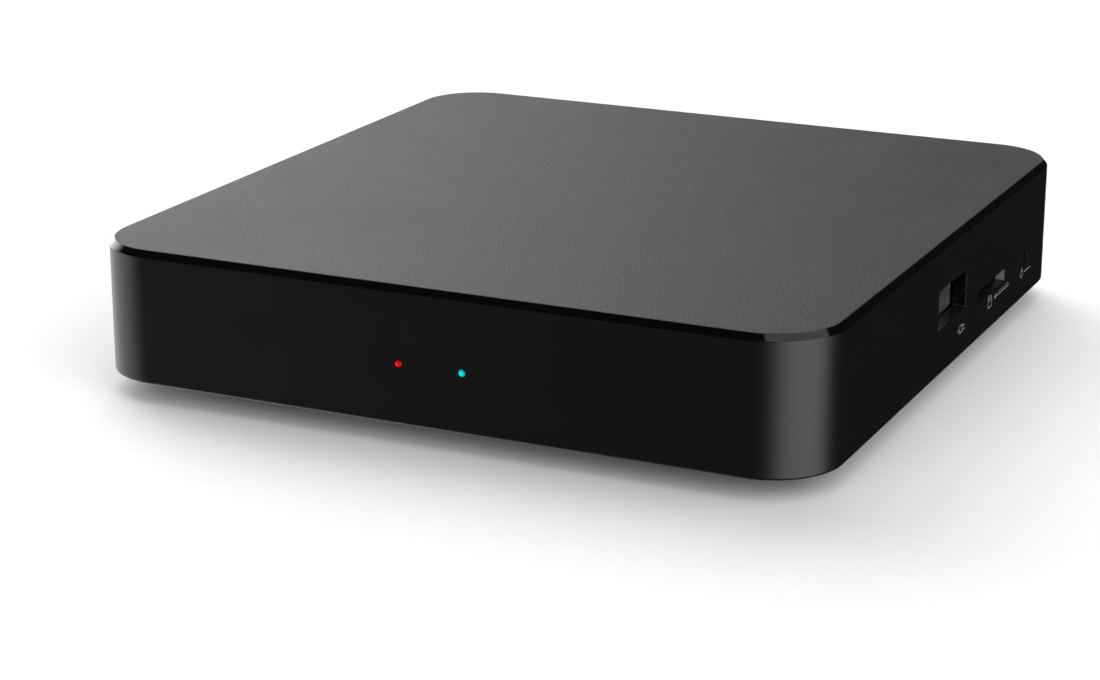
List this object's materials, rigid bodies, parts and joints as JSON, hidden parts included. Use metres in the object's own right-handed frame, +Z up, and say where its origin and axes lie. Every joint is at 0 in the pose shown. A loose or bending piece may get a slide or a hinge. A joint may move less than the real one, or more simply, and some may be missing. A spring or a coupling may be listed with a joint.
{
  "type": "streaming media player",
  "caption": "Flat square television set-top box with rounded corners, chamfered top edge, status lamps, side USB and card slots, rear sockets and rubber feet.",
  "frame": {"origin": "on the ground under the middle of the case", "axes": "+X to the side with the USB port, +Y to the rear with the power and video sockets, -Y the front with the lamps, +Z up"},
  "size_m": [0.115, 0.119, 0.0236],
  "materials": {
    "casing_black": "moulded, fine spark-eroded top, satin walls, polished edge",
    "cover_black": "moulded, fine texture",
    "foot_rubber": "matt",
    "screw_black": "black zinc",
    "label_grey": "satin film",
    "board_green": "solder mask",
    "steel": "tin plated",
    "chip_black": "moulded epoxy",
    "thermal_pad": "soft silicone",
    "aluminium": "extruded",
    "plastic_black": "moulded",
    "plastic_pale": "moulded",
    "brass": "gold flashed",
    "antenna_film": "flexible circuit film",
    "lens_red": "lit lens",
    "lens_cyan": "lit lens"
  },
  "bodies": {
    "case": {"top_housing": "casing_black", "bottom_cover": "cover_black", "foot_front_left": "foot_rubber", "foot_front_right": "foot_rubber", "foot_rear_left": "foot_rubber", "foot_rear_right": "foot_rubber", "case_screw_front_left": "screw_black", "case_screw_front_right": "screw_black", "case_screw_rear_left": "screw_black", "case_screw_rear_right": "screw_black", "rating_label": "label_grey", "main_board": "board_green", "board_screw_front_left": "steel", "board_screw_front_right": "steel", "board_screw_rear_left": "steel", "board_screw_rear_right": "steel", "crystal": "steel", "radio_shield": "steel", "usb_shell": "steel", "card_socket_cover": "steel", "card_spring": "steel", "reset_switch": "steel", "hdmi_shell": "steel", "processor_chip": "chip_black", "memory_chip_front": "chip_black", "memory_chip_rear": "chip_black", "flash_chip": "chip_black", "power_chip": "chip_black", "remote_receiver": "chip_black", "thermal_pad": "thermal_pad", "heat_sink": "aluminium", "capacitor_left": "aluminium", "capacitor_right": "aluminium", "heat_sink_pin_left": "plastic_black", "heat_sink_pin_right": "plastic_black", "inductor_front": "plastic_black", "inductor_rear": "plastic_black", "antenna_lead_side": "plastic_black", "antenna_lead_front": "plastic_black", "card_socket_base": "plastic_black", "power_jack": "plastic_black", "hdmi_tongue": "plastic_black", "av_jack": "plastic_black", "network_jack": "plastic_black", "usb_tongue": "plastic_pale", "usb_contact_1": "brass", "usb_contact_2": "brass", "usb_contact_3": "brass", "usb_contact_4": "brass", "power_jack_pin": "brass", "antenna_side": "antenna_film", "antenna_front": "antenna_film", "light_pipe_red": "lens_red", "lamp_red": "lens_red", "light_pipe_cyan": "lens_cyan", "lamp_cyan": "lens_cyan"},
    "reset_button": {"reset_plunger": "plastic_black"},
    "card_carriage": {"card_slider": "plastic_pale"}
  },
  "joints": [
    {"name": "reset_press", "type": "slide", "parent": "case", "child": "reset_button", "axis": [-1, 0, 0], "range_m": [0, 0.0003], "stiffness_N_per_m": 5000, "springref_m": -0.0001},
    {"name": "card_push", "type": "slide", "parent": "case", "child": "card_carriage", "axis": [-1, 0, 0], "range_m": [0, 0.003], "stiffness_N_per_m": 250, "springref_m": -0.001, "deforming": ["card_spring"]}
  ]
}
